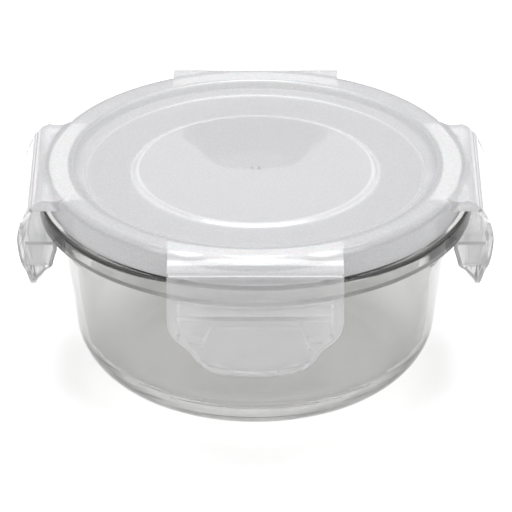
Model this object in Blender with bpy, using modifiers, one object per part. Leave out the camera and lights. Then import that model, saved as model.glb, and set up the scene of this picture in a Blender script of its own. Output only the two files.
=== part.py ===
"""Round glass food container with a four-latch snap lid.

Frame: origin at the centre of the foot, +Z up, -Y towards the front latch, lengths in metres.
The bowl is one turned glass body with a rim flange. The lid, its four latches and the thin webs that
hinge them are one plastic moulding, modelled as separate solids because they move. A silicone ring
sits in the channel under the lid's raised edge.
"""

import math

import bmesh
import bpy
from mathutils import Matrix

# --- driving dimensions: bowl -----------------------------------------------------------------
FOOT_R = 0.0423            # flat foot the container stands on
CORNER_R = 0.0201          # round between foot and wall, outside
WALL_DRAFT = math.radians(7.8)
WALL = 0.0035              # glass thickness
FLOOR = 0.0040
FLANGE_R = 0.0745          # ledge that the latches hook under
FLANGE_LOW = 0.0593
FLANGE_TOP = 0.0657
LIP_OUT_R = 0.0699         # plain lip above the flange, inside the lid's skirt
LIP_IN_R = 0.0656
LIP_TOP = 0.0712

# --- driving dimensions: lid ------------------------------------------------------------------
LID_T = 0.0016             # plastic thickness
DISC_R = 0.0419            # raised centre disc
DISC_TOP = 0.0730
PANEL_TOP = 0.0721         # recessed ring around the disc
RECESS_FOOT_R = 0.0579
RECESS_EDGE_R = 0.0625
LID_TOP = 0.0764           # raised outer ring
LID_R = 0.0724             # outside of the skirt
LID_EDGE_R = 0.0030        # rounding between ring and skirt
SKIRT_LOW = 0.0660
PLUG_RIB_R = 0.0639        # rib that centres the lid inside the lip
PLUG_RIB_LOW = 0.0688
NUB_R = 0.0017             # moulding nub in the middle of the disc
NUB_H = 0.0004

# --- driving dimensions: latches --------------------------------------------------------------
HINGE_R = 0.0763           # hinge axis from the centre
HINGE_Z = 0.0722
HALF_W = 0.0292            # half the width of a latch and of its tab
PLATE_OUT = 0.0808         # widest place of the plate, from the centre
PLATE_T = 0.0017
PLATE_WIDEST_Z = 0.0607
TONGUE_LOW = 0.0340        # lower end of the finger tongue
TONGUE_OUT = 0.07635
LEDGE_TOP = 0.0584         # ledge that snaps under the flange
LEDGE_T = 0.0017
PANEL_T = 0.0010           # inner wall from the ledge down to the tongue
PANEL_LOW = 0.0346
BRACE_OUT = 0.0262         # outside of the two walls that brace the ledge
BRACE_T = 0.0012
BRACE_LOW = 0.0470
WEB_HALF = 0.00035         # half the width of the thin hinge web
WEB_T = 0.00045

GAP = 0.0003               # clearance between neighbouring pieces
STEPS = 60                 # facets round every turned piece
MERGE = 0.00001

TURNS = {"front": 0.0, "right": 90.0, "back": 180.0, "left": -90.0}


# --- helpers ----------------------------------------------------------------------------------
def clear_scene():
    for obj in list(bpy.data.objects):
        bpy.data.objects.remove(obj, do_unlink=True)


def collection(name):
    made = bpy.data.collections.new(name)
    bpy.context.scene.collection.children.link(made)
    return made


def plastic(name, colour, roughness, transmission=0.0, ior=1.49):
    material = bpy.data.materials.new(name)
    material.use_nodes = True
    shader = material.node_tree.nodes["Principled BSDF"]
    shader.inputs["Base Color"].default_value = (*colour, 1.0)
    shader.inputs["Roughness"].default_value = roughness
    shader.inputs["Metallic"].default_value = 0.0
    shader.inputs["IOR"].default_value = ior
    shader.inputs["Transmission Weight"].default_value = transmission
    return material


def arc(centre, radius, start, end, count):
    """Points on a circle in the (radius, height) plane, from one angle to another in degrees."""
    points = []
    for i in range(count + 1):
        angle = math.radians(start + (end - start) * i / count)
        points.append((centre[0] + radius * math.cos(angle), centre[1] + radius * math.sin(angle)))
    return points


def bezier(a, b, c, d, count):
    """Points on a cubic curve from a to d, without a itself."""
    points = []
    for i in range(1, count + 1):
        t = i / count
        s = 1.0 - t
        weights = (s ** 3, 3 * s * s * t, 3 * s * t * t, t ** 3)
        points.append(tuple(sum(w * p[k] for w, p in zip(weights, (a, b, c, d))) for k in (0, 1)))
    return points


def smooth(mesh):
    mesh.shade_smooth()
    mesh.set_sharp_from_angle(angle=math.radians(35))


def turned(name, profile, closed, home):
    """A solid of revolution about Z from (radius, height) points that run down its outer side."""
    mesh = bpy.data.meshes.new(name)
    edges = [(i, i + 1) for i in range(len(profile) - 1)]
    if closed:
        edges.append((len(profile) - 1, 0))
    mesh.from_pydata([(r, 0.0, z) for r, z in profile], edges, [])
    obj = bpy.data.objects.new(name, mesh)
    home.objects.link(obj)
    screw = obj.modifiers.new("Turn", "SCREW")
    screw.axis = "Z"
    screw.angle = math.tau
    screw.steps = STEPS
    screw.render_steps = STEPS
    screw.use_merge_vertices = True
    screw.merge_threshold = MERGE
    return obj


def frozen(obj, name, home):
    """A plain mesh object with everything that obj's modifiers or curve settings make."""
    bpy.context.view_layer.update()
    graph = bpy.context.evaluated_depsgraph_get()
    mesh = bpy.data.meshes.new_from_object(obj.evaluated_get(graph))
    mesh.name = name
    work = bmesh.new()
    work.from_mesh(mesh)
    bmesh.ops.remove_doubles(work, verts=work.verts, dist=MERGE)
    work.to_mesh(mesh)
    work.free()
    made = bpy.data.objects.new(name, mesh)
    made.matrix_world = obj.matrix_world
    bpy.data.objects.remove(obj, do_unlink=True)
    home.objects.link(made)
    return made


def prism(name, outline, depth, placing, home):
    """A flat outline given depth along its own Z, centred, then placed."""
    curve = bpy.data.curves.new(name, "CURVE")
    curve.dimensions = "2D"
    curve.fill_mode = "BOTH"
    curve.extrude = depth / 2
    spline = curve.splines.new("POLY")
    spline.points.add(len(outline) - 1)
    for point, (x, y) in zip(spline.points, outline):
        point.co = (x, y, 0.0, 1.0)
    spline.use_cyclic_u = True
    obj = bpy.data.objects.new(name, curve)
    obj.matrix_world = placing
    home.objects.link(obj)
    return frozen(obj, name, home)


def combine(obj, other, operation):
    modifier = obj.modifiers.new(operation.title(), "BOOLEAN")
    modifier.operation = operation
    modifier.solver = "EXACT"
    modifier.object = other
    other.hide_render = True
    other.display_type = "WIRE"


# An outline drawn as (outward, up) is stood up: x -> -Y (outward), y -> +Z, depth along X.
SIDE_ON = Matrix(((0, 0, -1, 0), (-1, 0, 0, 0), (0, 1, 0, 0), (0, 0, 0, 1)))
# An outline drawn as (across, up) faces the front: x -> X, y -> +Z, depth along Y.
FACE_ON = Matrix.Rotation(math.radians(90), 4, "X")


# --- bowl -------------------------------------------------------------------------------------
def bowl_profile():
    draft_deg = math.degrees(WALL_DRAFT)
    slope = math.tan(WALL_DRAFT)
    inner_r = CORNER_R - WALL
    inner_centre = (FOOT_R, FLOOR + inner_r)
    outer_centre = (FOOT_R, CORNER_R)
    wall_foot = arc(outer_centre, CORNER_R, -draft_deg, -90, 7)
    under_flange = FLANGE_LOW - 0.0010
    wall_top_r = wall_foot[0][0] + (under_flange - wall_foot[0][1]) * slope
    lip_round = 0.0012
    flange_round = 0.0014
    ledge_round = 0.0009
    points = [(0.0, FLOOR)]
    points += arc(inner_centre, inner_r, -90, -draft_deg, 6)
    points += arc((LIP_IN_R + lip_round, LIP_TOP - lip_round), lip_round, 180, 90, 2)
    points += arc((LIP_OUT_R - lip_round, LIP_TOP - lip_round), lip_round, 90, 0, 2)
    points += [(LIP_OUT_R, FLANGE_TOP + 0.0008), (LIP_OUT_R + 0.0007, FLANGE_TOP)]
    points += arc((FLANGE_R - flange_round, FLANGE_TOP - flange_round), flange_round, 90, 0, 3)
    points += arc((FLANGE_R - ledge_round, FLANGE_LOW + ledge_round), ledge_round, 0, -90, 2)
    points += [(wall_top_r + 0.0014, FLANGE_LOW - 0.0002), (wall_top_r, under_flange)]
    points += wall_foot
    points.append((0.0, 0.0))
    return points


def make_bowl(home):
    bowl = turned("glass_bowl", bowl_profile(), False, home)
    bowl.data.materials.append(plastic("clear_glass", (0.88, 0.93, 0.91), 0.02, 1.0, 1.50))
    smooth(bowl.data)
    return bowl


# --- lid --------------------------------------------------------------------------------------
def lid_profile():
    step = 0.0007
    skirt_in = LID_R - 0.0017
    ceiling = LID_TOP - 0.0018
    rib_in = PLUG_RIB_R - LID_T
    points = [(0.0, DISC_TOP + NUB_H), (NUB_R, DISC_TOP + NUB_H), (NUB_R + 0.0002, DISC_TOP)]
    points += [(DISC_R - step, DISC_TOP), (DISC_R + step, PANEL_TOP)]
    points += [(RECESS_FOOT_R, PANEL_TOP), (RECESS_EDGE_R, LID_TOP - 0.0005)]
    points.append((RECESS_EDGE_R + 0.0009, LID_TOP))
    points += arc((LID_R - LID_EDGE_R, LID_TOP - LID_EDGE_R), LID_EDGE_R, 90, 0, 4)
    points += [(LID_R, SKIRT_LOW + 0.0004), (LID_R - 0.0004, SKIRT_LOW)]
    points += [(skirt_in + 0.0003, SKIRT_LOW), (skirt_in, SKIRT_LOW + 0.0003)]
    points += [(skirt_in, ceiling), (PLUG_RIB_R, ceiling)]
    points += [(PLUG_RIB_R, PLUG_RIB_LOW + 0.0004), (PLUG_RIB_R - 0.0004, PLUG_RIB_LOW)]
    points += [(rib_in + 0.0003, PLUG_RIB_LOW), (rib_in, PLUG_RIB_LOW + 0.0003)]
    points += [(rib_in, LID_TOP - 0.0027), (RECESS_FOOT_R + 0.0011, PANEL_TOP - LID_T)]
    points += [(DISC_R - 0.0003, PANEL_TOP - LID_T), (DISC_R - 0.0012, DISC_TOP - LID_T)]
    points.append((0.0, DISC_TOP - LID_T))
    return points


def tab_outline():
    """Side view of a lid tab: a long shallow slope off the ring, then a short steep one to the hinge."""
    reach = (WEB_HALF + GAP) * math.sqrt(0.5)
    edge = (HINGE_R - reach, HINGE_Z + reach)
    low = HINGE_Z - 0.0009
    brow = (0.0741, 0.0741)
    crest = (0.0680, LID_TOP - 0.00005)
    root = 0.0600
    outline = [(root, low), (edge[0] - 0.0009, low), edge]
    outline += bezier(edge, (0.0750, 0.0735), (0.0748, 0.0738), brow, 3)
    outline += bezier(brow, (0.0722, 0.0750), (0.0702, 0.0758), crest, 4)
    outline.append((root, crest[1]))
    return outline


def make_lid(home, tools):
    lid = turned("lid", lid_profile(), False, home)
    bpy.ops.mesh.primitive_cylinder_add(
        vertices=2 * STEPS, radius=LID_R - 0.0008, depth=0.1, location=(0, 0, HINGE_Z)
    )
    core = bpy.context.object
    core.name = "tab_core"
    for owner in list(core.users_collection):
        owner.objects.unlink(core)
    tools.objects.link(core)
    for side, turn in TURNS.items():
        placing = Matrix.Rotation(math.radians(turn), 4, "Z") @ SIDE_ON
        tab = prism(side + "_tab", tab_outline(), 2 * HALF_W, placing, tools)
        combine(tab, core, "DIFFERENCE")
        combine(lid, frozen(tab, side + "_tab", tools), "UNION")
    core.hide_render = True
    core.display_type = "WIRE"
    lid.data.materials.append(plastic("frosted_lid", (0.86, 0.87, 0.90), 0.35, 0.3))
    smooth(lid.data)
    for tab in tools.objects:
        if tab.name.endswith("_tab"):
            tab.hide_render = True
    return lid


# --- gasket -----------------------------------------------------------------------------------
def gasket_profile():
    """Flat ring over the lip, with a sealing lip that hangs inside the glass."""
    inner = PLUG_RIB_R + 0.00035
    outer = LID_R - 0.0017 - 0.00035
    top = LID_TOP - 0.0018 - GAP
    seat = LIP_TOP + GAP
    hang = LIP_IN_R - 0.0004
    return [
        (inner, top),
        (outer, top),
        (outer, seat + 0.0004),
        (outer - 0.0004, seat),
        (hang, seat),
        (hang, LIP_TOP - 0.0007),
        (hang - 0.0004, LIP_TOP - 0.0010),
        (inner, LIP_TOP - 0.0006),
    ]


def make_gasket(home):
    gasket = turned("gasket", gasket_profile(), True, home)
    gasket.data.materials.append(plastic("white_silicone", (0.90, 0.90, 0.89), 0.45, 0.0, 1.41))
    smooth(gasket.data)
    return gasket


# --- latches ----------------------------------------------------------------------------------
def plate_outline():
    """Side view of a latch plate: shoulder out from the hinge, then leaning back to the tongue."""
    reach = (WEB_HALF + GAP) * math.sqrt(0.5)
    top_out = (HINGE_R + reach, HINGE_Z - reach)
    top_in = (HINGE_R - 0.00035, HINGE_Z - 0.0013)
    widest_out = (PLATE_OUT, PLATE_WIDEST_Z)
    widest_in = (PLATE_OUT - PLATE_T, PLATE_WIDEST_Z)
    low_out = (TONGUE_OUT, TONGUE_LOW)
    low_in = (TONGUE_OUT - PLATE_T + 0.00025, TONGUE_LOW)
    outline = [top_out]
    outline += bezier(top_out, (0.0785, 0.0698), (0.0807, 0.0652), widest_out, 5)
    outline += bezier(widest_out, (0.0809, 0.0545), (0.0781, 0.0435), low_out, 6)
    outline.append(low_in)
    outline += bezier(low_in, (0.0764, 0.0435), (0.0792, 0.0545), widest_in, 6)
    outline += bezier(widest_in, (0.0790, 0.0655), (0.0773, 0.0690), top_in, 5)
    return outline


def face_outline():
    """Front view of a latch: straight sides, rounded shoulders, then a flared finger tongue."""
    corner = (HALF_W, 0.0584)
    waist = (0.0226, 0.0455)
    tip = (0.0160, 0.0366)
    half = [(HALF_W, HINGE_Z + 0.01), corner]
    half += bezier(corner, (HALF_W, 0.0520), (0.0270, 0.0490), waist, 5)
    half += bezier(waist, (0.0205, 0.0438), (0.0205, 0.0393), tip, 4)
    half += bezier(tip, (0.0125, 0.0345), (0.0060, TONGUE_LOW), (0.0, TONGUE_LOW), 4)
    left = [(-x, z) for x, z in reversed(half[:-1])]
    return half + left


def slab(near, far, half_w):
    """Plan of a straight slab across the latch, between two distances from the bowl's axis."""
    return [(-half_w, -far), (half_w, -far), (half_w, -near), (-half_w, -near)]


def level(low, high):
    return Matrix.Translation((0, 0, (low + high) / 2))


def brace_outline():
    """Side view of a wall that braces the ledge, its outer edge buried in the leaning plate."""
    near = FLANGE_R + GAP + 0.0001
    top = LEDGE_TOP - 0.0005
    return [(near, top), (near, BRACE_LOW), (0.0778, BRACE_LOW), (PLATE_OUT - 0.0010, 0.0560),
            (PLATE_OUT - 0.0010, top)]


def make_latches(home, tools):
    inner = FLANGE_R + GAP
    buried = PLATE_OUT - PLATE_T / 2
    plate = prism("plate", plate_outline(), 2 * HALF_W, SIDE_ON, tools)
    face = prism("face", face_outline(), 0.04, Matrix.Translation((0, -HINGE_R, 0)) @ FACE_ON, tools)
    ledge_low = LEDGE_TOP - LEDGE_T
    ledge = prism("ledge", slab(inner, buried, BRACE_OUT), LEDGE_T, level(ledge_low, LEDGE_TOP), tools)
    combine(plate, ledge, "UNION")
    height = LEDGE_TOP - PANEL_LOW - 0.0004
    panel = prism("panel", slab(inner, inner + PANEL_T, BRACE_OUT - 0.0001), height,
                  level(PANEL_LOW, PANEL_LOW + height), tools)
    combine(plate, panel, "UNION")
    for side in (-1, 1):
        shift = Matrix.Translation((side * (BRACE_OUT - BRACE_T / 2 - 0.0002), 0, 0))
        brace = prism("brace", brace_outline(), BRACE_T, shift @ SIDE_ON, tools)
        combine(plate, brace, "UNION")
    combine(plate, face, "INTERSECT")
    whole = frozen(plate, "latch", tools)
    mesh = whole.data
    mesh.transform(Matrix.Translation((0, HINGE_R, -HINGE_Z)) @ whole.matrix_world)
    mesh.materials.clear()
    mesh.materials.append(plastic("clear_latch", (0.84, 0.85, 0.87), 0.22, 0.5))
    smooth(mesh)
    bpy.data.objects.remove(whole, do_unlink=True)
    for side, turn in TURNS.items():
        spin = Matrix.Rotation(math.radians(turn), 4, "Z")
        latch = bpy.data.objects.new(side + "_latch", mesh)
        latch.matrix_world = spin @ Matrix.Translation((0, -HINGE_R, HINGE_Z))
        home.objects.link(latch)


def make_webs(home):
    """Thin webs that join each tab to its latch, lying in the 45 degree plane through the hinge."""
    half = 0.99 * HALF_W
    material = plastic("hinge_web", (0.88, 0.89, 0.91), 0.3, 0.3)
    for side, turn in TURNS.items():
        bpy.ops.mesh.primitive_cube_add(size=1.0)
        web = bpy.context.object
        web.name = side + "_hinge_web"
        web.data.name = web.name
        web.data.transform(Matrix.Translation((0, 0, -0.5)))
        web.data.transform(Matrix.Diagonal((2 * half, 2 * WEB_HALF, WEB_T, 1.0)))
        web.data.transform(Matrix.Rotation(math.radians(45), 4, "X"))
        web.data.materials.append(material)
        spin = Matrix.Rotation(math.radians(turn), 4, "Z")
        web.matrix_world = spin @ Matrix.Translation((0, -HINGE_R, HINGE_Z))
        for owner in list(web.users_collection):
            owner.objects.unlink(web)
        home.objects.link(web)


def main():
    clear_scene()
    home = collection("glass_storage_container")
    tools = collection("cutters")
    make_bowl(home)
    make_gasket(home)
    make_lid(home, tools)
    make_latches(home, tools)
    make_webs(home)


main()
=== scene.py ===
"""Looks for the round glass food container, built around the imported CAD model."""
import math

import bmesh
import bpy
from mathutils import Matrix, Vector


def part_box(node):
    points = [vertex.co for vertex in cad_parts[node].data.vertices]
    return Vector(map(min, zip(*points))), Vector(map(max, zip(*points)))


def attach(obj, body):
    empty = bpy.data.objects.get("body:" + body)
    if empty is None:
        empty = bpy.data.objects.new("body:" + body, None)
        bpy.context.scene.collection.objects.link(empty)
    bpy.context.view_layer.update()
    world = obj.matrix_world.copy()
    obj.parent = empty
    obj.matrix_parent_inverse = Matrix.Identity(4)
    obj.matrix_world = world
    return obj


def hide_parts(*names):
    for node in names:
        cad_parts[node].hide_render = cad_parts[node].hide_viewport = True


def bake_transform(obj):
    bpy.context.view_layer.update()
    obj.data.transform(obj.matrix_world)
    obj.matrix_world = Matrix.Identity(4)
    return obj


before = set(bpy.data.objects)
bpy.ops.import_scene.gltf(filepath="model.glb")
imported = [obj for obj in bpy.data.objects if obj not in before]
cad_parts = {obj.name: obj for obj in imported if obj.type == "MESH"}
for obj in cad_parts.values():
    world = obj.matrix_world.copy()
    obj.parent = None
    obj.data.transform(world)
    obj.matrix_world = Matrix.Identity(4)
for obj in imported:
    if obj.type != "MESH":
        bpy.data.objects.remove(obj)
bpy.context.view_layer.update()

# --- sizes in metres, as in the CAD unless a comment says otherwise -------------------------------
BOWL_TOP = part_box("glass_bowl")[1]
FLANGE_R, LIP_TOP = BOWL_TOP.x, BOWL_TOP.z
FLANGE_LOW, FLANGE_TOP = 0.0593, 0.0657
FLANGE_ROOT = 0.0010       # the wall turns out to the flange over this height
LIP_OUT_R, LIP_IN_R = 0.0699, 0.0656
FOOT_R, CORNER_R = 0.0423, 0.0201
WALL, FLOOR, DRAFT = 0.0035, 0.0040, math.radians(7.8)
FOOT_HOLLOW = 0.0003       # drawn only: the underside rises by this much in the middle
FOOT_RING = 0.0020         # drawn only: width of the flat ring round that hollow

LID_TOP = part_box("lid")[1].z
LID_R, SKIRT_LOW, LID_T = 0.0724, 0.0660, 0.0016
SKIRT_T, RING_T = 0.0017, 0.0018
DISC_R, DISC_TOP, PANEL_TOP = 0.0419, 0.0730, 0.0721
RECESS_FOOT_R, RECESS_EDGE_R = 0.0579, 0.0625
PLUG_R, PLUG_LOW = 0.0639, 0.0688
NUB_R, NUB_H = 0.0018, 0.0007      # the mark in the lid's centre, drawn taller than the CAD's
MOULD_EDGE = 0.0004        # round on the edges of the lid's skirt and plug rib

HINGE_R, HINGE_Z = 0.0763, 0.0722
HINGE_HALF = 0.00046       # from the hinge's middle to the tab's edge or the plate's, along each axis
HALF_W = 0.0292
PLATE_OUT, PLATE_T, PLATE_WIDEST_Z = 0.0808, 0.0016, 0.0607
TONGUE_LOW, TONGUE_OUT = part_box("front_latch")[0].z, 0.07635
LEDGE_TOP, LEDGE_T, LEDGE_HALF_W = 0.0584, 0.0017, 0.0262
PANEL_LOW, PANEL_T = TONGUE_LOW + 0.0006, 0.0009
GAP, SIDE_GAP = 0.0003, 0.00035    # the sealing ring's clearance above and below, and at its sides

# The drawn latch. Its inner wall tucks in under the flange at CATCH and leans out to TONGUE.
CATCH_R, CATCH_Z = 0.0723, 0.0550
TONGUE_R, TONGUE_Z = 0.0745, 0.0420
BORDER, BORDER_TOP = 0.0018, 0.0014            # the raised border's width, and what it gains higher up
FIELD_DEPTH, THUMB_DEPTH = 0.00042, 0.00035    # how far the field and the thumb recess are set back
THUMB_TOP, THUMB_LOW = (0.0136, 0.0543), (0.0166, 0.0445)    # (across, up) on the thumb recess's side

SEGMENTS = 192             # facets round every turned piece
TURNS = {"front": 0.0, "right": 90.0, "back": 180.0, "left": -90.0}


# --- camera: the reference view, from a long lens -------------------------------------------------
ELEVATION = math.radians(28.07)
DISTANCE = 1.5764
LENS_MM, SENSOR_MM = 319.6, 36.0
TARGET = Vector((0.0002, 0.0, 0.0388))


def make_camera():
    data = bpy.data.cameras.new("camera")
    data.lens = LENS_MM
    data.sensor_width = SENSOR_MM
    camera = bpy.data.objects.new("camera", data)
    back = Vector((0.0, -math.cos(ELEVATION), math.sin(ELEVATION)))
    camera.location = TARGET + back * DISTANCE
    camera.rotation_euler = (math.pi / 2 - ELEVATION, 0.0, 0.0)
    bpy.context.scene.collection.objects.link(camera)
    bpy.context.scene.camera = camera


# --- mesh helpers ---------------------------------------------------------------------------------
def link(name, mesh):
    obj = bpy.data.objects.new(name, mesh)
    bpy.context.scene.collection.objects.link(obj)
    return obj


def soften(mesh):
    """Smooth shading, with edges over 38 degrees kept sharp."""
    mesh.shade_smooth()
    mesh.set_sharp_from_angle(angle=math.radians(38))


def turned(side):
    """The rotation that takes a front piece to another side."""
    return Matrix.Rotation(math.radians(TURNS[side]), 4, "Z")


def closed_mesh(name, verts, faces):
    """A mesh with outward normals, from points and faces."""
    mesh = bpy.data.meshes.new(name)
    mesh.from_pydata(verts, [], faces)
    work = bmesh.new()
    work.from_mesh(mesh)
    bmesh.ops.remove_doubles(work, verts=work.verts, dist=1e-6)
    bmesh.ops.recalc_face_normals(work, faces=work.faces)
    work.to_mesh(mesh)
    work.free()
    soften(mesh)
    return mesh


def arc(centre, radius, start, end, count):
    """Points on a circle in the (radius, height) plane, from one angle to another in degrees."""
    points = []
    for i in range(count + 1):
        angle = math.radians(start + (end - start) * i / count)
        points.append((centre[0] + radius * math.cos(angle), centre[1] + radius * math.sin(angle)))
    return points


def rounded(corners, steps=5):
    """The outline through (radius, height, fillet) corners; a corner with no fillet stays sharp."""
    points = []
    last = len(corners) - 1
    for i, (x, z, fillet) in enumerate(corners):
        if fillet == 0 or i in (0, last):
            points.append((x, z))
            continue
        here = Vector((x, z))
        back = (Vector(corners[i - 1][:2]) - here).normalized()
        ahead = (Vector(corners[i + 1][:2]) - here).normalized()
        half = back.angle(ahead) / 2
        reach = fillet / math.tan(half)
        centre = here + (back + ahead).normalized() * fillet / math.sin(half)
        first, final = here + back * reach - centre, here + ahead * reach - centre
        sweep = first.angle(final)
        for k in range(steps + 1):
            t = k / steps
            offset = (math.sin((1 - t) * sweep) * first + math.sin(t * sweep) * final) / math.sin(sweep)
            points.append(tuple(centre + offset))
    return points


def divided(outline, guard=0.0003, longest=0.0030):
    """The outline with points added on its straight runs, so curves next to them shade cleanly."""
    points = [outline[0]]
    for a, b in zip(outline, outline[1:]):
        a, b = Vector(a), Vector(b)
        length = (b - a).length
        if length > 4 * guard:
            inner = length - 2 * guard
            count = math.ceil(inner / longest)
            points += [tuple(a.lerp(b, (guard + inner * i / count) / length)) for i in range(count + 1)]
        points.append(tuple(b))
    return points


def lathe(name, outline, loop=False):
    """A solid of revolution about Z from (radius, height) points."""
    verts, rings, faces = [], [], []
    for r, z in divided(outline):
        count = SEGMENTS if r > 1e-6 else 1
        rings.append(range(len(verts), len(verts) + count))
        for k in range(count):
            angle = math.tau * k / SEGMENTS
            verts.append((r * math.cos(angle), r * math.sin(angle), z))
    pairs = list(zip(rings, rings[1:])) + ([(rings[-1], rings[0])] if loop else [])
    for low, high in pairs:
        for k in range(SEGMENTS):
            n = (k + 1) % SEGMENTS
            corners = [low[k % len(low)], low[n % len(low)], high[n % len(high)], high[k % len(high)]]
            faces.append(list(dict.fromkeys(corners)))
    return closed_mesh(name, verts, [f for f in faces if len(f) > 2])


def loft(name, sections):
    """A closed solid through equal closed sections, each a list of points, with flat ends."""
    size = len(sections[0])
    verts = [p for section in sections for p in section]
    faces = [list(range(size)), list(range(len(verts) - size, len(verts)))]
    for i in range(len(sections) - 1):
        for k in range(size):
            n = (k + 1) % size
            base = i * size
            faces.append([base + k, base + n, base + size + n, base + size + k])
    return closed_mesh(name, verts, faces)


def bezier(a, b, c, d, t):
    """The point at t on the cubic curve with control points a to d."""
    s = 1.0 - t
    weights = (s ** 3, 3 * s * s * t, 3 * s * t * t, t ** 3)
    return tuple(sum(w * p[k] for w, p in zip(weights, (a, b, c, d))) for k in (0, 1))


def smoothstep(low, high, value):
    """0 at low and 1 at high, with a soft start and end; low may be the larger."""
    t = min(max((value - low) / (high - low), 0.0), 1.0)
    return t * t * (3 - 2 * t)


def applied(obj):
    """obj, with its modifiers applied to its mesh."""
    graph = bpy.context.evaluated_depsgraph_get()
    mesh = bpy.data.meshes.new_from_object(obj.evaluated_get(graph))
    obj.modifiers.clear()
    obj.data = mesh
    soften(mesh)
    return obj


def union(obj, others):
    """Joins the others into obj and removes them."""
    for other in others:
        modifier = obj.modifiers.new("union", "BOOLEAN")
        modifier.operation = "UNION"
        modifier.solver = "MANIFOLD"
        modifier.object = other
    applied(obj)
    obj.data.materials.clear()
    for other in others:
        bpy.data.objects.remove(other, do_unlink=True)
    return obj


# --- materials ------------------------------------------------------------------------------------
class Nodes:
    """Short names for making one material's nodes."""

    MIX_FACTOR, MIX_FIRST, MIX_SECOND, MIX_RESULT = 0, 6, 7, 2    # a colour Mix node's sockets

    def __init__(self, name):
        self.material = bpy.data.materials.new(name)
        self.material.use_nodes = True
        self.tree = self.material.node_tree
        self.shader = self.tree.nodes["Principled BSDF"]
        self.out = self.tree.nodes["Material Output"]
        self.place = self.tree.nodes.new("ShaderNodeTexCoord").outputs["Object"]

    def add(self, kind, **values):
        """A new node; each value goes to the input of that name, or else to the property."""
        node = self.tree.nodes.new("ShaderNode" + kind)
        for key, value in values.items():
            socket = node.inputs.get(key.replace("_", " "))
            if socket is not None:
                socket.default_value = value
            else:
                setattr(node, key, value)
        return node

    def link(self, a, b):
        self.tree.links.new(a, b)

    def drive(self, key, value):
        """Links a node's result to one of the shader's sockets."""
        self.link(value, self.shader.inputs[key])

    def set(self, **values):
        """Constants on the shader's own sockets."""
        for key, value in values.items():
            self.shader.inputs[key.replace("_", " ")].default_value = value

    def noise(self, scale, detail=3.0, roughness=0.5):
        """Cloudy variation from 0 to 1, with about scale clouds a metre."""
        node = self.add("TexNoise", Scale=scale, Detail=detail, Roughness=roughness)
        self.link(self.place, node.inputs["Vector"])
        return node.outputs["Fac"]

    def spread(self, value, low, high, start=0.0, end=1.0):
        """value, read between start and end, as low to high."""
        node = self.add("MapRange", clamp=True)
        for key, number in (("From Min", start), ("From Max", end), ("To Min", low), ("To Max", high)):
            if isinstance(number, (int, float)):
                node.inputs[key].default_value = number
            else:
                self.link(number, node.inputs[key])
        self.link(value, node.inputs["Value"])
        return node.outputs["Result"]

    def math(self, operation, a, b):
        node = self.add("Math", operation=operation)
        for socket, value in zip(node.inputs, (a, b)):
            if isinstance(value, (int, float)):
                socket.default_value = value
            else:
                self.link(value, socket)
        return node.outputs["Value"]

    def base_colour(self, factor, first, second):
        """The shader's base colour, from first to second as factor goes from 0 to 1."""
        node = self.add("Mix", data_type="RGBA")
        node.inputs[self.MIX_FIRST].default_value = (*first, 1.0)
        node.inputs[self.MIX_SECOND].default_value = (*second, 1.0)
        self.link(factor, node.inputs[self.MIX_FACTOR])
        self.drive("Base Color", node.outputs[self.MIX_RESULT])

    def bump(self, height, distance):
        """Relief on the surface, distance metres deep where height goes from 0 to 1."""
        node = self.add("Bump", Distance=distance, Strength=1.0)
        self.link(height, node.inputs["Height"])
        self.drive("Normal", node.outputs["Normal"])

    def radius(self):
        """Distance from the container's axis."""
        split = self.add("SeparateXYZ")
        self.link(self.place, split.inputs["Vector"])
        flat = self.add("CombineXYZ")
        self.link(split.outputs["X"], flat.inputs["X"])
        self.link(split.outputs["Y"], flat.inputs["Y"])
        length = self.add("VectorMath", operation="LENGTH")
        self.link(flat.outputs["Vector"], length.inputs[0])
        return length.outputs["Value"]

    def let_lamps_through(self, tint):
        """Lamp light passes the clear body instead of leaving a black shadow behind it."""
        path = self.add("LightPath")
        clear = self.add("BsdfTransparent", Color=(*tint, 1.0))
        mix = self.add("MixShader")
        self.link(path.outputs["Is Shadow Ray"], mix.inputs["Fac"])
        self.link(self.shader.outputs["BSDF"], mix.inputs[1])
        self.link(clear.outputs["BSDF"], mix.inputs[2])
        self.link(mix.outputs["Shader"], self.out.inputs["Surface"])

    def absorb(self, colour, density):
        """Tint that deepens with the way through the body."""
        volume = self.add("VolumeAbsorption", Color=(*colour, 1.0), Density=density)
        self.link(volume.outputs["Volume"], self.out.inputs["Volume"])


def glass_material():
    """Slightly smoky glass, with painted shade darkening it where it is seen edge-on."""
    n = Nodes("tempered_glass")
    n.set(IOR=1.5, Transmission_Weight=0.97)
    # Painted shade: the base colour darkens towards the edge-on parts, standing in for the darker
    # surroundings seen through the glass there.
    facing = n.add("LayerWeight", Blend=0.5).outputs["Facing"]
    n.base_colour(n.spread(facing, 0.0, 1.0, 0.45, 0.90), (0.76, 0.755, 0.755), (0.28, 0.28, 0.29))
    n.drive("Roughness", n.spread(n.noise(60, 2.0), 0.0, 0.02))
    n.bump(n.noise(45, 1.0, 0.4), 0.00025)
    n.absorb((0.80, 0.805, 0.79), 140.0)
    n.let_lamps_through((0.94, 0.94, 0.94))
    return n.material


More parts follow.
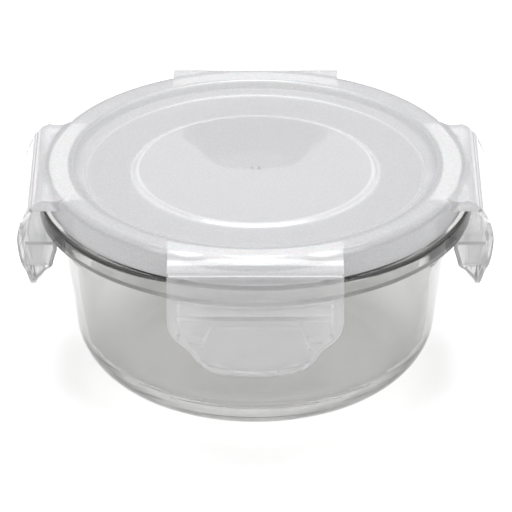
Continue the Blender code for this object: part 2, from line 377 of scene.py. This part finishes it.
def lid_material():
    """Milky and satin on the ring, frosted on the panel, clearer on the raised disc; the base colour holds
    painted light on the recess wall and tabs and painted shade on the ring's top.
    """
    n = Nodes("milky_polypropylene")
    n.set(IOR=1.49)
    radius = n.radius()

    def beyond(start, end, most=1.0):
        """0 inside a circle round the axis, rising to most outside it."""
        return n.spread(radius, 0.0, most, start, end)

    def within(start, end):
        """1 inside a circle round the axis, falling to 0 outside it."""
        return n.spread(radius, 1.0, 0.0, start, end)

    disc = within(DISC_R - 0.0022, DISC_R - 0.0016)
    panel = n.math("MULTIPLY", beyond(DISC_R + 0.0004, DISC_R + 0.0014),
                   within(RECESS_FOOT_R - 0.0010, RECESS_FOOT_R + 0.0010))
    # Painted shade: a darker base colour on the ring's top, holding down the overhead lamp's gloss there.
    ring = beyond(RECESS_EDGE_R - 0.0006, RECESS_EDGE_R + 0.0006, 0.34)
    # Painted light: a paler base colour on the tabs, skirt and hinge strips beyond the ring, lifting their
    # shaded slopes.
    tabs = beyond(LID_R - 0.0010, LID_R, 0.22)
    mottle = n.noise(1300, 3.0, 0.7)

    # Painted light: everything beyond the panel starts paler; once the ring's painted shade is taken off,
    # this lightens the recess wall, whose inward slope is in shade.
    middle = n.spread(n.math("ADD", disc, panel), 0.50, 0.16)
    # The tabs' painted light, and a paler tone on the disc.
    tab_light_and_paler_disc = n.math("ADD", tabs, n.spread(disc, 0.0, 0.14))
    # The base colour's factor: random mottle plus the painted light and shade above.
    mottle_and_painted_shading = n.math("ADD", n.math("SUBTRACT", middle, ring), tab_light_and_paler_disc)
    mottle_and_painted_shading = n.math("ADD", n.spread(mottle, 0.0, 0.24, 0.3, 0.7), mottle_and_painted_shading)
    n.base_colour(mottle_and_painted_shading, (0.39, 0.39, 0.40), (0.78, 0.78, 0.79))
    n.drive("Transmission Weight", n.spread(disc, 0.43, 0.56))
    n.drive("Roughness", n.math("ADD", n.spread(disc, 0.14, 0.012), n.spread(panel, 0.0, 0.36)))
    n.bump(n.math("MULTIPLY", mottle, n.spread(panel, n.spread(disc, 0.10, 0.01), 1.0)), 0.00012)
    n.let_lamps_through((0.84, 0.84, 0.84))
    return n.material


def latch_material():
    n = Nodes("clear_polypropylene")
    n.set(IOR=1.49, Transmission_Weight=0.81)
    n.base_colour(n.noise(160, 3.0), (0.75, 0.75, 0.76), (0.84, 0.84, 0.84))
    n.drive("Roughness", n.spread(n.noise(220, 3.0), 0.03, 0.09))
    n.bump(n.noise(90, 2.0), 0.0003)
    n.let_lamps_through((0.80, 0.80, 0.80))
    return n.material


def silicone_material():
    n = Nodes("white_silicone")
    n.set(IOR=1.41, Subsurface_Weight=0.4, Subsurface_Scale=0.002)
    cloud = n.noise(900, 3.0)
    n.base_colour(cloud, (0.88, 0.88, 0.87), (0.94, 0.94, 0.93))
    n.drive("Roughness", n.spread(cloud, 0.42, 0.58))
    n.bump(n.noise(2600, 3.0), 0.00003)
    return n.material


def floor_material():
    n = Nodes("studio_floor")
    n.base_colour(n.noise(30, 2.0), (0.94, 0.94, 0.94), (0.96, 0.96, 0.96))
    n.set(Roughness=0.9)
    return n.material


# --- bowl -----------------------------------------------------------------------------------------
def bowl_outline():
    draft = math.degrees(DRAFT)
    inner_r = CORNER_R - WALL
    outside = arc((FOOT_R, CORNER_R), CORNER_R, -draft, -90, 16)
    inside = arc((FOOT_R, FLOOR + inner_r), inner_r, -90, -draft, 14)
    under = FLANGE_LOW - FLANGE_ROOT
    wall_top_r = outside[0][0] + (under - outside[0][1]) * math.tan(DRAFT)
    rim = rounded([
        (*inside[-1], 0),
        (LIP_IN_R, LIP_TOP, 0.0012),
        (LIP_OUT_R, LIP_TOP, 0.0012),
        (LIP_OUT_R, FLANGE_TOP, 0.0009),
        (FLANGE_R, FLANGE_TOP, 0.0014),
        (FLANGE_R, FLANGE_LOW, 0.0006),
        (wall_top_r + 0.0009, FLANGE_LOW, 0.0008),
        (wall_top_r, under - 0.0006, 0.0006),
        (*outside[0], 0),
    ], 6)
    hollow = []
    for i in range(17):
        share = 1 - i / 16
        hollow.append(((FOOT_R - FOOT_RING) * share, FOOT_HOLLOW * (1 - share ** 2) ** 2))
    return [(0.0, FLOOR)] + inside[:-1] + rim + outside[1:] + hollow


def make_bowl():
    bowl = link("glass_bowl_clear", lathe("glass_bowl_clear", bowl_outline()))
    bowl.data.materials.append(glass_material())
    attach(bowl, "bowl")
    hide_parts("glass_bowl")


# --- lid ------------------------------------------------------------------------------------------
def lid_outline():
    skirt_in = LID_R - SKIRT_T
    ceiling = LID_TOP - RING_T
    rib_in = PLUG_R - LID_T
    return rounded([
        (0.0, DISC_TOP + NUB_H, 0),
        (NUB_R * 0.5, DISC_TOP + NUB_H, 0.0010),
        (NUB_R, DISC_TOP, 0.0005),
        (DISC_R - 0.0010, DISC_TOP, 0.0018),
        (DISC_R + 0.0005, PANEL_TOP, 0.0006),
        (RECESS_FOOT_R, PANEL_TOP, 0.0022),
        (RECESS_EDGE_R, LID_TOP, 0.0009),
        (LID_R, LID_TOP, 0.0030),
        (LID_R, SKIRT_LOW, MOULD_EDGE),
        (skirt_in, SKIRT_LOW, MOULD_EDGE),
        (skirt_in, ceiling, MOULD_EDGE),
        (PLUG_R, ceiling, MOULD_EDGE),
        (PLUG_R, PLUG_LOW, MOULD_EDGE),
        (rib_in, PLUG_LOW, MOULD_EDGE),
        (rib_in, LID_TOP - 0.0025, 0.0006),
        (RECESS_FOOT_R + 0.0011, PANEL_TOP - LID_T, 0.0010),
        (DISC_R - 0.0003, PANEL_TOP - LID_T, 0.0003),
        (DISC_R - 0.0012, DISC_TOP - LID_T, 0.0003),
        (0.0, DISC_TOP - LID_T, 0),
    ])


TAB_T = 0.0009             # the tab's thickness at the hinge
TAB_EDGE = (HINGE_R - HINGE_HALF, HINGE_Z + HINGE_HALF)
TAB_BROW = (0.0739, 0.0747)
TAB_CREST = (0.0680, LID_TOP - 0.00005)
TAB_END, TAB_ROUND = 0.0004, 0.0003    # the tab's ends round off over this width, by this much
TAB_ROOT = 0.0080          # how far the tab is sunk into the ring
VALLEY_OUT, VALLEY_DEPTH = 0.0718, 0.0011
VALLEY_START, VALLEY_FULL = 0.0150, 0.0235     # across the tab: where a valley begins and is deepest


def tab_top(root):
    """(outward, up) along the tab's top, from the hinge over the brow and the crest to its root."""
    line = [bezier(TAB_EDGE, (0.0753, 0.0734), (0.0747, 0.0742), TAB_BROW, i / 6) for i in range(7)]
    line += [bezier(TAB_BROW, (0.0722, 0.0757), (0.0704, 0.0762), TAB_CREST, i / 14) for i in range(1, 15)]
    crest_out, crest_up = TAB_CREST
    return line + [(crest_out + (root - crest_out) * i / 6, crest_up) for i in range(1, 7)]


def tab_valley(x, out, ring):
    """Depth of the leaf-shaped valleys between the ring and the tab's brow, towards the tab's ends."""
    start = ring - 0.0016
    middle, half = (start + VALLEY_OUT) / 2, (VALLEY_OUT - start) / 2
    if abs(out - middle) >= half:
        return 0.0
    return VALLEY_DEPTH * smoothstep(VALLEY_START, VALLEY_FULL, abs(x)) * (1 - ((out - middle) / half) ** 2)


def tab_section(x):
    """The tab's closed side view at x across it."""
    end = max(0.0, abs(x) - (HALF_W - TAB_END)) / TAB_END
    pinch = TAB_ROUND * (1 - math.sqrt(max(0.0, 1 - end * end)))
    ring = math.sqrt(LID_R ** 2 - x * x)
    root = ring - TAB_ROOT
    low = HINGE_Z - TAB_T + pinch
    section = [(root, low), (TAB_EDGE[0] - TAB_T, low)]
    section += [(out, z - tab_valley(x, out, ring) - pinch) for out, z in tab_top(root)]
    return [(x, -out, z) for out, z in section]


def make_lid(material):
    lid = link("lid_shell", lathe("lid_shell", lid_outline()))
    end = [-HALF_W + TAB_END * i / 4 for i in range(4)]
    spots = end + [(i / 32 - 1) * (HALF_W - TAB_END) for i in range(65)] + [-x for x in reversed(end)]
    tab = loft("tab", [tab_section(x) for x in spots])
    tabs = []
    for side in TURNS:
        part = link(side + "_tab", tab.copy())
        part.data.transform(turned(side))
        tabs.append(part)
    union(lid, tabs)
    lid.data.materials.append(material)
    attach(lid, "lid")
    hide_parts("lid")


# --- gasket ---------------------------------------------------------------------------------------
def make_gasket():
    """The sealing ring fills the lid's channel, rests on the lip and hangs a little inside it."""
    inner = PLUG_R + SIDE_GAP
    outer = LID_R - SKIRT_T - SIDE_GAP
    top = LID_TOP - RING_T - GAP
    seat = LIP_TOP + GAP
    hang = LIP_IN_R - 0.0004
    corners = [
        (inner, top, 0.0003),
        (outer, top, 0.0005),
        (outer, seat, 0.0004),
        (hang, seat, 0.0001),
        (hang, LIP_TOP - 0.0010, 0.0004),
        (inner, LIP_TOP - 0.0006, 0.0003),
    ]
    wrapped = [corners[-1]] + corners + [corners[0]]
    gasket = link("seal_ring", lathe("seal_ring", rounded(wrapped, 4)[1:-1], loop=True))
    gasket.data.materials.append(silicone_material())
    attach(gasket, "lid")
    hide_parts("gasket")


# --- latches --------------------------------------------------------------------------------------
def plate_curve(t):
    """(outward, up) on the plate's outer face, t from 0 at the hinge to 1 at the tongue's end."""
    top = (HINGE_R + HINGE_HALF, HINGE_Z - HINGE_HALF)
    widest = (PLATE_OUT, PLATE_WIDEST_Z)
    tongue = (TONGUE_OUT, TONGUE_LOW)
    share = 0.36
    if t < share:
        return bezier(top, (0.0785, 0.0698), (0.0807, 0.0652), widest, t / share)
    return bezier(widest, (0.0809, 0.0545), (0.0781, 0.0435), tongue, (t - share) / (1 - share))


SHOULDER, WAIST, TOE = (HALF_W, 0.0584), (0.0226, 0.0455), (0.0160, 0.0366)
FACE = [                   # the right half of the latch's outline, seen from the front
    (SHOULDER, (HALF_W, 0.0520), (0.0270, 0.0490), WAIST),
    (WAIST, (0.0205, 0.0438), (0.0205, 0.0393), TOE),
    (TOE, (0.0125, 0.0345), (0.0060, TONGUE_LOW), (0.0, TONGUE_LOW)),
]
SIDE_LINE = [(HALF_W, HINGE_Z - HINGE_HALF)] + [bezier(*c, i / 16) for c in FACE for i in range(17)]
PLATE_LINE = [plate_curve(i / 60) for i in range(61)]


def reading(line, z):
    """The first coordinate of a falling line at a height."""
    for (xa, za), (xb, zb) in zip(line, line[1:]):
        if zb <= z <= za and za > zb:
            return xa + (xb - xa) * (za - z) / (za - zb)
    return line[-1][0]


def edge_distance(x, z):
    """How far inside the latch's outline a point of its face lies."""
    best = math.inf
    point = Vector((abs(x), z))
    for a, b in zip(SIDE_LINE, SIDE_LINE[1:]):
        start, along = Vector(a), Vector(b) - Vector(a)
        if along.length < 1e-7:     # two curves of the outline meet here
            continue
        t = min(max((point - start).dot(along) / along.length_squared, 0.0), 1.0)
        best = min(best, (point - start - along * t).length)
    return best


def relief(x, z):
    """How far the face is set back at a point: a raised border round a field, and the thumb recess."""
    inside = edge_distance(x, z)
    border = BORDER + BORDER_TOP * smoothstep(0.046, 0.050, z)
    field = FIELD_DEPTH * smoothstep(border - 0.0002, border + 0.0002, inside)
    field *= smoothstep(0.0715, 0.0700, z)
    (top_x, top_z), (low_x, low_z) = THUMB_TOP, THUMB_LOW
    side = top_x + (low_x - top_x) * (top_z - z) / (top_z - low_z)
    thumb = THUMB_DEPTH * smoothstep(top_z + 0.0002, top_z - 0.0002, z)
    thumb *= smoothstep(border, border + 0.0005, inside)
    thumb *= smoothstep(side + 0.0002, side - 0.0002, abs(x))
    return field + thumb


def inner_radius(z):
    """How far from the axis the latch's inner wall stands at a height."""
    t = min(max((CATCH_Z - z) / (CATCH_Z - TONGUE_Z), 0.0), 1.0)
    return CATCH_R + (TONGUE_R - CATCH_R) * t * (2 - t)


CURL, CURL_TOP, CURL_LOW = 0.0024, 0.0470, 0.0355    # the curl's width, and the heights it grows over
BOW_FULL = 0.0440          # above this height the inner wall is as round as the flange


def inner_wall(x, z):
    """The inner wall's face: round like the flange above, turned out to meet the plate at its edge."""
    radius = inner_radius(z)
    bow = (radius - math.sqrt(radius ** 2 - x * x)) * smoothstep(TONGUE_LOW, BOW_FULL, z)
    lift = smoothstep(CURL, 0.0002, edge_distance(x, z)) * smoothstep(CURL_TOP, CURL_LOW, z)
    plate = reading(PLATE_LINE, z) - 0.0014     # just inside the plate's inner face
    return (radius - bow) * (1 - lift) + plate * lift


def thickened(name, verts, columns, thickness, outward):
    """A grid of points given thickness, away from the axis or towards it, and rounded edges."""
    faces = []
    for i in range(len(verts) // (columns + 1) - 1):
        for k in range(columns):
            a = i * (columns + 1) + k
            faces.append((a, a + 1, a + columns + 2, a + columns + 1))
    mesh = bpy.data.meshes.new(name)
    mesh.from_pydata(verts, [], faces)
    obj = link(name, mesh)
    solid = obj.modifiers.new("solid", "SOLIDIFY")
    solid.thickness = thickness
    faces_front = mesh.polygons[0].normal.y < 0
    solid.offset = 1.0 if faces_front == outward else -1.0
    bevel = obj.modifiers.new("edge", "BEVEL")
    bevel.width = thickness * 0.3
    bevel.segments = 3
    bevel.angle_limit = math.radians(50)
    return applied(obj)


def latch_plate():
    """The curved outer plate, with its border, field and thumb recess."""
    rows, columns = 96, 72
    verts = []
    for i in range(rows + 1):
        t = 1 - (1 - i / rows) ** 1.5     # rows crowd towards the tongue
        out, z = plate_curve(t)
        width = max(reading(SIDE_LINE, z), 0.0012)     # the last row keeps some width
        ahead, behind = plate_curve(min(t + 0.01, 1.0)), plate_curve(max(t - 0.01, 0.0))
        outward = Vector((behind[1] - ahead[1], ahead[0] - behind[0])).normalized()
        for k in range(columns + 1):
            x = width * (2 * k / columns - 1)
            depth = relief(x, z)
            verts.append((x, -(out - outward.x * depth), z - outward.y * depth))
    return thickened("plate", verts, columns, PLATE_T, False)


def latch_panel():
    """The inner wall, from the ledge down to the tongue, bent to stay clear of the flange."""
    rows, columns = 30, 36
    top = LEDGE_TOP - 0.0004
    verts = []
    for i in range(rows + 1):
        z = top + (PANEL_LOW - top) * i / rows
        width = min(LEDGE_HALF_W - 0.0001, reading(SIDE_LINE, z) - 0.0002)
        for k in range(columns + 1):
            x = width * (2 * k / columns - 1)
            verts.append((x, -inner_wall(x, z), z))
    return thickened("panel", verts, columns, PANEL_T, True)


def latch_ledge():
    """The ledge that snaps under the flange, its inner edge round like the flange and eased."""
    sections = []
    far = PLATE_OUT - 0.0009     # sunk into the plate
    under = LEDGE_TOP - LEDGE_T
    for i in range(33):
        x = LEDGE_HALF_W * (i / 16 - 1)
        near = math.sqrt((CATCH_R - 0.0001) ** 2 - x * x)
        sections.append([
            (x, -far, LEDGE_TOP),
            (x, -near - 0.0004, LEDGE_TOP - 0.0003),
            (x, -near, LEDGE_TOP - 0.0007),
            (x, -near, LEDGE_TOP - 0.0012),
            (x, -near - 0.0004, under),
            (x, -far, under),
        ])
    return link("ledge", loft("ledge", sections))


def latch_rib(start, end, thickness):
    """A wall between the plate and the inner wall, sunk into both, along a line seen from the front."""
    start, end = Vector(start), Vector(end)
    aside = (end - start).orthogonal().normalized() * thickness / 2
    sections = []
    for i in range(9):
        centre = start.lerp(end, i / 8)
        low, high = centre - aside, centre + aside
        near = math.sqrt(inner_radius(centre.y) ** 2 - centre.x ** 2) + 0.0004
        far = reading(PLATE_LINE, centre.y) - 0.0010
        sections.append([(low.x, -near, low.y), (high.x, -near, high.y),
                         (high.x, -far, high.y), (low.x, -far, low.y)])
    return link("rib", loft("rib", sections))


SIDE_X = LEDGE_HALF_W - 0.0007
RIBS = [                   # start, end and thickness on the right half, as (across, up) from the front
    ((SIDE_X, LEDGE_TOP - 0.0004), (SIDE_X, 0.0492), 0.0011),
    ((0.0165, 0.0477), (0.0222, 0.0477), 0.0006),
    ((0.0148, 0.0543), (0.0182, 0.0445), 0.0006),
]


def latch_mesh():
    plate = latch_plate()
    inside = [latch_ledge(), latch_panel()]
    for side in (-1, 1):
        for (start_x, start_z), (end_x, end_z), thickness in RIBS:
            inside.append(latch_rib((side * start_x, start_z), (side * end_x, end_z), thickness))
    union(plate, inside)
    mesh = plate.data
    bpy.data.objects.remove(plate, do_unlink=True)
    return mesh


def make_latches():
    mesh = latch_mesh()
    mesh.materials.append(latch_material())
    for side in TURNS:
        latch = link(side + "_latch_moulding", mesh)
        latch.matrix_world = turned(side)
        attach(latch, side + "_latch")
        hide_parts(side + "_latch")


WEB_REACH = 0.00062        # from the middle of a strip to the end that sinks into tab or plate
WEB_THIN, WEB_THICKER = 0.00018, 0.00012    # half the thickness at the fold, and what the ends add


def make_webs(material):
    """The living hinges: thin strips between each tab and its latch."""
    slant = math.sqrt(0.5)     # they lie at 45 degrees
    half = HALF_W - TAB_END
    for side in TURNS:
        sections = []
        for i in range(9):
            along = WEB_REACH * (i / 4 - 1)
            out, z = HINGE_R + along * slant, HINGE_Z - along * slant
            up = (WEB_THIN + WEB_THICKER * (along / WEB_REACH) ** 2) * slant
            sections.append([
                (-half, -(out + up), z + up), (half, -(out + up), z + up),
                (half, -(out - up), z - up), (-half, -(out - up), z - up),
            ])
        strip = link(side + "_hinge_strip", loft("strip", sections))
        strip.data.transform(turned(side))
        strip.data.materials.append(material)
        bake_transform(strip)
        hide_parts(side + "_hinge_web")


# --- studio ---------------------------------------------------------------------------------------
def make_floor():
    mesh = bpy.data.meshes.new("floor")
    size = 6.0
    mesh.from_pydata([(-size, -size, 0), (size, -size, 0), (size, size, 0), (-size, size, 0)], [],
                     [(0, 1, 2, 3)])
    floor = link("floor", mesh)
    floor.location.z = -0.0001     # just under the foot
    floor.data.materials.append(floor_material())


def lamp(name, position, size, power, aim=(0.0, 0.0, 0.05)):
    data = bpy.data.lights.new(name, "AREA")
    data.shape = "RECTANGLE"
    data.size, data.size_y = size
    data.energy = power
    light = bpy.data.objects.new(name, data)
    light.location = position
    light.rotation_euler = (Vector(aim) - Vector(position)).to_track_quat("-Z", "Y").to_euler()
    bpy.context.scene.collection.objects.link(light)


def make_world():
    """A studio that is light overhead and dim towards the horizon."""
    world = bpy.data.worlds.new("studio")
    world.use_nodes = True
    tree = world.node_tree
    place = tree.nodes.new("ShaderNodeTexCoord")
    split = tree.nodes.new("ShaderNodeSeparateXYZ")
    ramp = tree.nodes.new("ShaderNodeValToRGB")
    stops = ((0.0, 0.39), (0.12, 0.43), (0.35, 0.62), (0.7, 0.97), (1.0, 1.15))    # height, grey
    for _ in stops[2:]:
        ramp.color_ramp.elements.new(0.5)
    for element, (height, grey) in zip(ramp.color_ramp.elements, stops):
        element.position = height
        element.color = (grey, grey, grey, 1.0)
    tree.links.new(place.outputs["Generated"], split.inputs["Vector"])
    tree.links.new(split.outputs["Z"], ramp.inputs["Fac"])
    tree.links.new(ramp.outputs["Color"], tree.nodes["Background"].inputs["Color"])
    bpy.context.scene.world = world


def make_studio():
    make_floor()
    make_world()
    lamp("overhead", (0.0, 0.22, 1.4), (1.0, 0.8), 16)
    lamp("left_strip", (-0.9, -0.7, 0.55), (0.25, 0.9), 2.0)
    lamp("right_strip", (0.9, -0.7, 0.55), (0.25, 0.9), 2.0)
    bpy.context.scene.view_settings.view_transform = "Standard"


make_camera()
make_bowl()
moulded = lid_material()
make_lid(moulded)
make_gasket()
make_latches()
make_webs(moulded)
make_studio()
